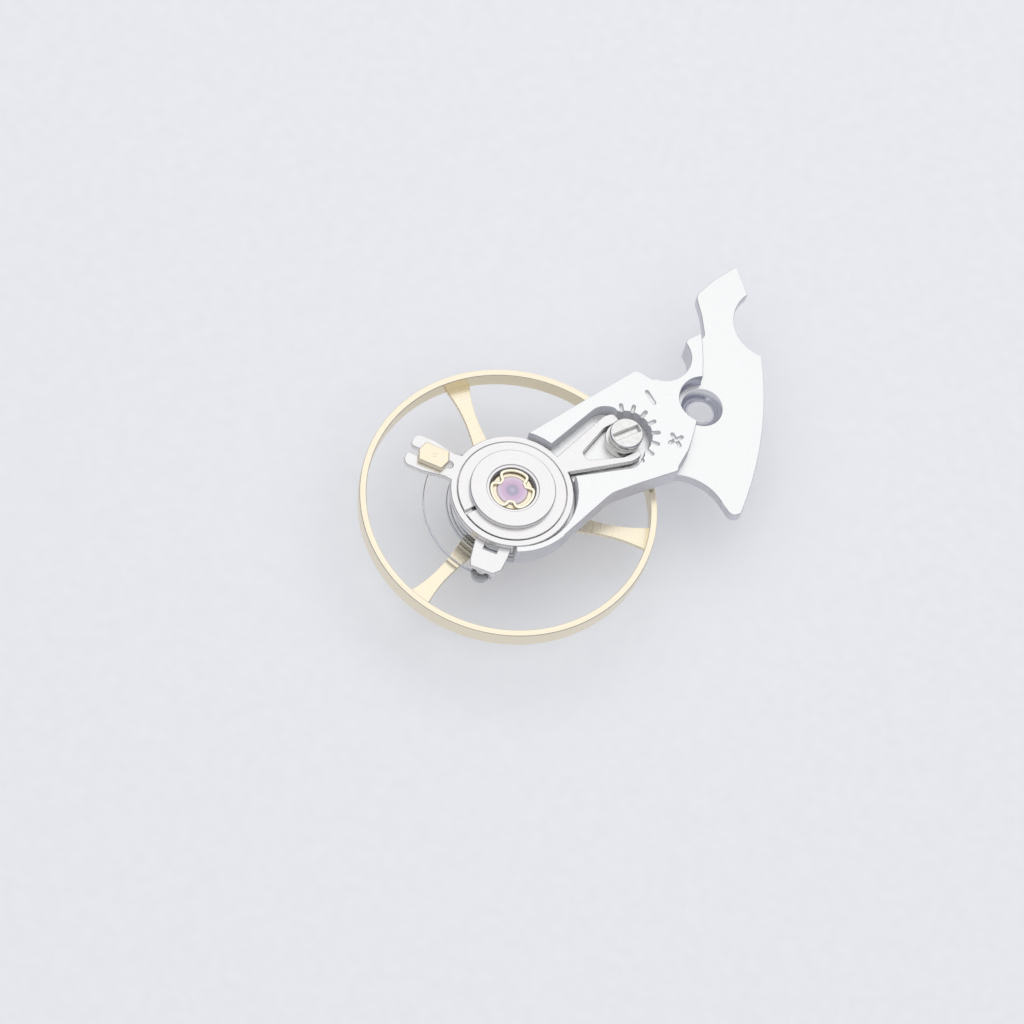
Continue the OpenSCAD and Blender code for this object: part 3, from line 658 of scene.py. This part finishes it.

# %% [markdown]
# ## Shock spring
#
# The spring is bent from flat gilt wire: a ring that dips inwards at three places, where it presses on
# the cap jewel. A curve with a bevel could follow it, but a formula keeps its three lobes alike. The dip
# is a bell curve of the angle, one over one plus its sixth power, which has a flat end like a bend round
# a pin. A rounded section is carried along that closed line. In a shock the dips rise with the jewel,
# while the ring stays in the bush. Here the spring keeps the shape it is drawn with.


# %% Strips along a line
def strip_piece(name, line, section, closed=False):
    """A section of (across, up) carried along a line of (x, y, z). Across points to the left of the way."""
    ahead, behind = np.roll(line, -1, 0), np.roll(line, 1, 0)
    if not closed:
        ahead[-1], behind[0] = line[-1], line[0]
    way = (ahead - behind)[:, :2]
    way /= np.linalg.norm(way, axis=1)[:, None]
    points = np.empty((len(line), len(section), 3))
    points[..., 0] = line[:, :1] - way[:, 1:] * section[:, 0]
    points[..., 1] = line[:, 1:2] + way[:, :1] * section[:, 0]
    points[..., 2] = line[:, 2:] + section[:, 1]
    n, k = points.shape[:2]
    faces = [grid_faces(n, k, closed, True)[:, ::-1]]
    if not closed:
        faces += [np.arange(k)[None, ::-1], (n * k - k + np.arange(k))[None]]
    return mesh_piece(name, points.reshape(-1, 3), *faces)


def bends(strip):
    """Works the strip's place in the world into its points, which stay as they are drawn."""
    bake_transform(strip)


# %% Shock spring
LOBES, DIP_WIDTH, DIP_DEPTH, SPRING_R, SPRING_TURN = 3, 15, 0.245, 0.675, -7
WIRE_Z, WIRE_SAG, WIRE_W, WIRE_T = 0.841, 0.016, 0.096, 0.05
a = np.arange(0, 360, 1.0)
from_dip = np.abs((a + 180 / LOBES) % (360 / LOBES) - 180 / LOBES)
dip = 1 / (1 + (from_dip / DIP_WIDTH) ** 6)
radius = SPRING_R - DIP_DEPTH * dip
wire_line = np.column_stack([turned(polar(1, a) * radius[:, None], SPRING_TURN), WIRE_Z - WIRE_SAG * dip])
x, z = WIRE_W / 2, WIRE_T / 2
wire_section = rounded([(-x, -z, 0.015), (x, -z, 0.015), (x, z, 0.02), (-x, z, 0.02)], 4)
wire = strip_piece("shock_spring_wire", wire_line, wire_section, closed=True)
placed(wire, gilt_wire, "gold_spring", None, "shock_spring")
bends(wire)

# %% [markdown]
# ## Regulator
#
# Two rings turn on the bush: the index, whose fork is moved by an eccentric, and below it the carrier of
# the hairspring's stud. Both are stamped plates with turned faces. Each could be cut from a ring and some
# boxes with booleans, but their round corners run into each other, so they are drawn as one outline of a
# circle and its arms, and carried upwards.


# %% Rings with arms
def distinct(line):
    """The line without points that repeat the one before."""
    return line[np.r_[True, np.linalg.norm(np.diff(line, axis=0), axis=1) > 1e-6]]


def beyond(line, radius):
    """The part of an open line outside a circle round the origin. It is cut where the squared distance along
    a side, a quadratic, equals the squared radius."""
    far = np.flatnonzero(np.linalg.norm(line, axis=1) > radius)[[0, -1]]

    def cut(a, b):
        d = b - a
        t = [x for x in np.roots([d @ d, 2 * a @ d, a @ a - radius**2]).real if 0 <= x <= 1][0]
        return (a + t * d)[None]

    return np.concatenate([cut(line[far[0] - 1], line[far[0]]), line[far[0] : far[1] + 1],
                           cut(line[far[1]], line[far[1] + 1])])


def ring_with_arms(radius, arms):
    """A circle joined with arms. Each arm is an open line that leaves the circle and comes back, in order of
    their angles, and arcs of the circle join the end of one to the start of the next."""
    parts = [beyond(distinct(a), radius) for a in arms]
    angles = [np.degrees(np.arctan2(p[[0, -1], 1], p[[0, -1], 0])) for p in parts]
    out = []
    for i, p in enumerate(parts):
        start, stop = angles[i][1], angles[(i + 1) % len(parts)][0]
        stop += 360 * math.ceil((start - stop) / 360)
        out += [p, arc(radius, start, stop)[1:-1]]
    return np.concatenate(out)


def mirrored(line):
    """The same line on the other side of its arm, in the opposite order."""
    return (line * (1, -1))[::-1]


# %% Index outline
RING_R, RING_BORE, LIP_R = 1.96, 1.44, 1.75
ARC_R, PIN_ANGLE = 2.7, 128.0
ARM_W, ARM_W_FAR = 0.6, 0.57
low_jaw = [(1.8, -0.2), (4.05, -0.86, 0.6), (4.39, -0.79, 0.1), (4.39, -0.59, 0.07), (3.83, -0.59, 0.3),
           (2.73, -0.15, 0.12)]
high_jaw = [(2.73, 0.15, 0.12), (3.83, 0.59, 0.3), (4.39, 0.59, 0.07), (4.39, 0.9, 0.18), (4.05, 0.97, 0.6),
            (1.8, 0.36)]
fork = turned(rounded(low_jaw + high_jaw, closed=False), FORK_ANGLE, (0, 0))


def arm_side(w):
    """One side of the slotted arm, of half-width w, from the ring round its end to the mouth of the slot."""
    return rounded([(1.5, 0.05 - w), (2.15, -0.44, 0.3), (2.85, -w, 0.4), (3.53, -w, 0.22),
                    (3.53, -0.13, 0.1), (2.865, -0.13)], closed=False)


slot_side = np.concatenate([arc(0.21, -38.2, -141.8, (ARC_R, 0), 6), arc(0.13, -90, -180, (2.16, 0), 8)])
arm = np.concatenate([arm_side(ARM_W), slot_side, mirrored(slot_side), mirrored(arm_side(ARM_W_FAR))])
index_line = ring_with_arms(RING_R, [fork, turned(arm, PIN_ANGLE, (0, 0))])
print("points of the index's outline:", len(index_line))

# %% Index
INDEX_Z, INDEX_TOP, BORE_EDGE = 0.54, 0.75, 0.01
bore, lip = circle(RING_BORE)[::-1], circle(LIP_R)[::-1]
lip_wall = np.stack([
    level(inset(bore, BORE_EDGE), INDEX_Z), level(bore, INDEX_Z + BORE_EDGE), level(bore, INDEX_STEP),
    level(lip, INDEX_STEP), level(lip, INDEX_TOP - EDGE), level(inset(lip, EDGE), INDEX_TOP)])
lip_wall[..., :2] += AXIS
index = plate_piece("index_ring_plate", wall(index_line + AXIS, INDEX_Z, INDEX_TOP), lip_wall)
placed(index, steel_turned, "nickel_turned", "index", "index_ring")

# %% Stud carrier
CARRIER_Z, CARRIER_TOP, STUD_ANGLE = 0.37, 0.53, 220.0
stub = rounded([(1.4, -0.59), (2.68, -0.44, 0.3), (2.9, -0.36, 0.05), (2.9, 0.4, 0.05), (2.68, 0.6, 0.1),
                (2.26, 0.64, 0.3), (1.4, 0.66)], closed=False)
carrier_line = ring_with_arms(RING_R, [turned(stub, STUD_ANGLE, (0, 0))])
window = turned([(1.86, -0.19), (1.86, 0.27), (2.2, 0.27), (2.2, -0.19)], STUD_ANGLE)
carrier = plate_piece("stud_carrier_plate", wall(carrier_line + AXIS, CARRIER_Z, CARRIER_TOP),
                      wall(bore + AXIS, CARRIER_Z, CARRIER_TOP, BORE_EDGE),
                      wall(window, CARRIER_Z, CARRIER_TOP, BORE_EDGE))
placed(carrier, steel_turned, "nickel_turned", "stud_carrier", "stud_carrier")

# %% [markdown]
# ## Split ring
#
# A split ring sits in the bush's groove, presses on the index and so holds both rings down. A torus would
# be the quick way, but the ring is cut from flat stock and its slit shows, so it is a plate with an
# outline that runs out along one arc and back along another.


# %% Split ring
def split_ring(outer, inner, slit, angle):
    """The outline of a ring with a parallel slit at an angle: an outer arc one way and an inner arc back."""
    a, b = (math.degrees(math.asin(slit / 2 / r)) for r in (outer, inner))
    return np.concatenate([arc(outer, angle + a, angle + 360 - a), arc(inner, angle + 360 - b, angle + b)])


SPLIT_R, SPLIT_BORE, SLIT, SLIT_ANGLE, PLAY = 1.73, 1.18, 0.12, 180, 0.01
split_line = split_ring(SPLIT_R, SPLIT_BORE, SLIT, SLIT_ANGLE) + AXIS
split = plate_piece("friction_ring_plate", wall(split_line, INDEX_STEP + PLAY, FLANGE_Z - PLAY, 0.015))
placed(split, steel_turned, "nickel_turned", "cock", "friction_ring")

# %% [markdown]
# ## Curb-pin block and stud
#
# A gilt block with six sides turns in the slot of the index, and its two pins hold the hairspring between
# them. The stud hangs from its carrier, and a drop of adhesive keeps the spring's end in its slot.
# Blocks, pins and drop are turned or milled, so the two builders make them too, and a boolean cuts the
# mark and the slot.

# %% Curb-pin block
pin_centre = polar(ARC_R, PIN_ANGLE, AXIS)
mark_centre = polar(ARC_R - 0.02, PIN_ANGLE, AXIS)
hexagon = [(-0.52, 0), (-0.395, -0.345), (0.395, -0.345), (0.52, 0), (0.395, 0.345), (-0.395, 0.345)]
hexagon_walls = wall(turned(hexagon, PIN_ANGLE, pin_centre), INDEX_TOP + PLAY, ARM_TOP, 0.03)
hex_block = plate_piece("pin_block_head", hexagon_walls)
mark = turned_piece("mark_cut", [
    (0.05, 0.94), (0.075, 0.94), (0.085, 1.0), (0.04, 1.0)], mark_centre, 32, hollow=True)
combined(hex_block, "DIFFERENCE", mark)
placed(hex_block, gilt_brass, "gold_satin", "pin_block", "regulator_pin_block")
shank = turned_piece("pin_block_shank", [
    (0, 0.43), (0.26, 0.43, 0.01), (0.26, CARRIER_TOP, 0.01), (0.19, CARRIER_TOP), (0.19, 0.765),
    (0, 0.765)], pin_centre, 72)
placed(shank, gilt_brass, "gold_satin", "pin_block")

# %% Curb pins
CURB_OFFSET = 0.0825
curb_profile = [(0, -0.34), (0.045, -0.34, 0.015), (0.045, 0.51), (0, 0.51)]
for k, offset in enumerate((-CURB_OFFSET, CURB_OFFSET)):
    curb = turned_piece(f"curb_pin_{k + 1}", curb_profile, polar(ARC_R + offset, PIN_ANGLE, AXIS), 32)
    placed(curb, gilt_wire, "gold_satin", "pin_block", *(["curb_pins"] if k == 0 else []))

# %% Stud and its cement
stud_centre = polar(ARC_R, STUD_ANGLE, AXIS)
stud = turned_piece("stud_post", [
    (0, -0.34), (0.2, -0.34, 0.02), (0.2, CARRIER_Z, 0.02), (0.1, CARRIER_Z), (0.1, 0.47), (0, 0.47)],
    stud_centre, 96)
slot_walls = turned([(-0.06, -1), (0.06, -1), (0.06, 1), (-0.06, 1)], STUD_ANGLE, stud_centre)
combined(stud, "DIFFERENCE", plate_piece("slot_cut", wall(slot_walls, -1, -0.12, 0.001)))
placed(stud, steel_polished, "steel_bright", "stud_carrier", "hairspring_stud")
drop = turned_piece("cement_drop", [
    (0, -0.36), (0.15, -0.36, 0.05), (0.25, -0.29, 0.06), (0.3, -0.19, 0.06), (0.3, -0.02, 0.1),
    (0.26, 0.12, 0.08), (0.205, 0.22, 0.01), (0, 0.22)], stud_centre, 96, corner_steps=6)
placed(drop, cement, "cement", "stud_carrier", "stud_cement")

# %% [markdown]
# ## Eccentric screw
#
# The index is set by a screw that turns in the arm. Below its slotted head sits a disc out of the middle,
# which pushes the fork to one side. Two turned pieces on two axes are joined, and the slot is cut a few
# degrees away from the fork's line, as the screw was last set.

# %% Eccentric screw
HEAD_R, HEAD_TOP, CAM_R, CAM_OFFSET, SLOT_TURN = 0.54, 1.04, 0.57, 0.08, 4
head = turned_piece("eccentric_screw_head", [
    (0, 0.13), (0.4, 0.13, 0.015), (0.4, 0.19), (0.3, 0.19), (0.3, 0.5), (0.3, FLANGE_Z),
    (HEAD_R, FLANGE_Z, 0.02), (HEAD_R, HEAD_TOP, 0.035), (0, HEAD_TOP)], screw_centre)
cam_profile = [(0, 0.46), (CAM_R, 0.46, 0.01), (CAM_R, FLANGE_Z, 0.01), (0, FLANGE_Z)]
combined(head, "UNION", turned_piece("cam", cam_profile, polar(SCREW_REACH - CAM_OFFSET, FORK_ANGLE, AXIS)))
slot_corners = [(-0.45, -0.125), (0.46, -0.125), (0.46, 0.125), (-0.45, 0.125)]
slot_line = turned(slot_corners, FORK_ANGLE - SLOT_TURN, screw_centre)
combined(head, "DIFFERENCE", plate_piece("slot_cut", flared(slot_line, 0.89, HEAD_TOP, 0.01)))
placed(head, steel_polished, "steel_bright", "eccentric", "eccentric_screw")

# %% [markdown]
# ## Balance
#
# The wheel is a heavy rim on three slim arms, turned and milled from one blank, with a staff, two rollers
# and the collet of the hairspring on its axis. The arms could be boxes with a taper, but a real arm flows
# into the rim. So they are one outline, whose half-width grows with the square of the distance from the
# arm's middle. The rim and the staff are turned profiles.

# %% Wheel
WHEEL_LOW, WHEEL_HIGH, RIM_R, RIM_BORE = -0.57, 0.05, 4.76, 4.54
HUB_R, HUB_BORE, SPOKES_TOP, SPOKE_ANGLE = 1.05, 0.3, WHEEL_LOW + 0.14, 79.75
SPOKE_START, SPOKE_END = 0.6, 4.56  # inside the hub and inside the rim, so that the solids join
NARROWEST_AT, NARROWEST, TO_RIM, TO_HUB = 3.2, 0.21, 0.11, 0.075
r = np.linspace(SPOKE_START, SPOKE_END, 34)
half = NARROWEST + np.where(r > NARROWEST_AT, TO_RIM, TO_HUB) * (r - NARROWEST_AT) ** 2
spoke = np.concatenate([np.stack([r, -half], -1), np.stack([r, half], -1)[::-1]])
star = ring_with_arms(HUB_R, [turned(spoke, SPOKE_ANGLE + a, (0, 0)) for a in (0, 120, 240)])
star_plate = plate_piece("star", wall(star + AXIS, WHEEL_LOW, SPOKES_TOP, 0.015),
                         wall(circle(HUB_BORE)[::-1] + AXIS, WHEEL_LOW, SPOKES_TOP, 0.01))
wheel = turned_piece("balance_wheel_rim", [
    (RIM_BORE, WHEEL_LOW, 0.02), (RIM_R, WHEEL_LOW, 0.02), (RIM_R, WHEEL_HIGH, 0.02),
    (RIM_BORE, WHEEL_HIGH, 0.02)], hollow=True, steps=360)
combined(wheel, "UNION", star_plate)
placed(wheel, balance_alloy, "pale_gold", "balance", "balance_wheel")

# %% Staff
PIVOT_R = 0.05
staff = turned_piece("balance_staff_turned", [
    (0, PIVOT_TIP), (PIVOT_R, PIVOT_TIP, 0.01), (PIVOT_R, -1.87), (0.22, -1.67), (0.22, -0.77),
    (0.6, -0.77, 0.02), (0.6, WHEEL_LOW), (HUB_BORE, WHEEL_LOW), (HUB_BORE, SPOKES_TOP), (0.26, SPOKES_TOP),
    (0.26, 0.15, 0.02), (0.14, 0.15), (0.14, 0.32), (PIVOT_R, 0.38), (PIVOT_R, 0.615, 0.01), (0, 0.615)])
placed(staff, steel_polished, "steel_bright", "balance", "balance_staff")

# %% Rollers and impulse jewel
ROLLER_ANGLE, JEWEL_R, JEWEL_REACH = 250.0, 0.16, 0.9
roller = turned_piece("double_roller_turned", [
    (0.22, -1.59), (0.62, -1.59, 0.02), (0.62, -1.45, 0.02), (0.4, -1.45), (0.4, -1.02), (1.15, -1.02, 0.02),
    (1.15, -0.89, 0.02), (0.4, -0.89), (0.4, -0.77, 0.01), (0.22, -0.77)], hollow=True)
hollow_centre = polar(0.74, ROLLER_ANGLE, AXIS)
combined(roller, "DIFFERENCE", turned_piece("hollow_cut", [
    (0, -2), (0.24, -2), (0.24, -1.29), (0, -1.29)], hollow_centre, 96))
jewel_line = turned(arc(JEWEL_R, 69.5, 290.5, step=6), ROLLER_ANGLE, polar(JEWEL_REACH, ROLLER_ANGLE, AXIS))
combined(roller, "DIFFERENCE", plate_piece("jewel_cut", wall(jewel_line, -1.4, -0.7, 0.001)))
placed(roller, steel_polished, "steel_bright", "balance", "double_roller")
impulse = plate_piece("impulse_jewel_polished", wall(jewel_line, -1.32, -0.86, 0.015))
placed(impulse, ruby, "ruby", "balance", "impulse_jewel")

# %% [markdown]
# ## Hairspring
#
# The strip is 0.035 mm thick and winds thirteen turns, then bends outwards to the arc that the curb pins
# and the stud hold. A ready-made spiral lacks that bend, so the line is worked out: its radius grows
# evenly with the angle, and one smooth step leads to the arc. In a real spring, as the balance swings,
# each point turns by a share of the swing, from all at the collet to none at the curb pins, and when the
# stud is moved to set the beat, the spring slides through the pins. Here its end, from the pins to the
# stud, is a piece of its own, and both pieces stay where they are drawn.

# %% Hairspring
SPRING_LOW, SPRING_HIGH, STRIP_T, STRIP_CORNER = -0.30, -0.16, 0.035, 0.008
TURNS, INNER_R, PITCH, BODY_END, BEND = 13, 0.5, 0.12, 92.0, 26.0
PAST_STUD = 8.01  # a hundredth over 8 degrees, so that the last angle counts
first = BODY_END - 360 * TURNS
angles = np.concatenate([np.arange(first, BODY_END, 4.0), np.arange(BODY_END, STUD_ANGLE + PAST_STUD, 2.0)])
step = np.clip((angles - BODY_END) / BEND, 0, 1)
even = INNER_R + PITCH * (angles - first) / 360
radius = even + (ARC_R - even) * step**2 * (3 - 2 * step)
line = level(polar(radius, angles, AXIS), (SPRING_LOW + SPRING_HIGH) / 2)
x, z = STRIP_T / 2, (SPRING_HIGH - SPRING_LOW) / 2
section = rounded([(s * x, t * z, STRIP_CORNER) for s, t in ((-1, -1), (1, -1), (1, 1), (-1, 1))], 3)
held = int(np.searchsorted(angles, PIN_ANGLE))
coils = strip_piece("hairspring_coils", line[: held + 1], section)
placed(coils, spring_alloy, "spring_alloy", None, "hairspring")
end = strip_piece("hairspring_end", line[held:], section)
placed(end, spring_alloy, "spring_alloy", None)

# %% Hairspring's points in place
bends(coils)
bends(end)

# %% Collet
collet_line = split_ring(INNER_R - STRIP_T / 2, 0.26, 0.06, first + 180) + AXIS
collet = plate_piece("collet_split", wall(collet_line, SPRING_LOW - 0.05, SPRING_HIGH + 0.05, 0.015))
placed(collet, balance_alloy, "pale_gold", "balance", "hairspring_collet")
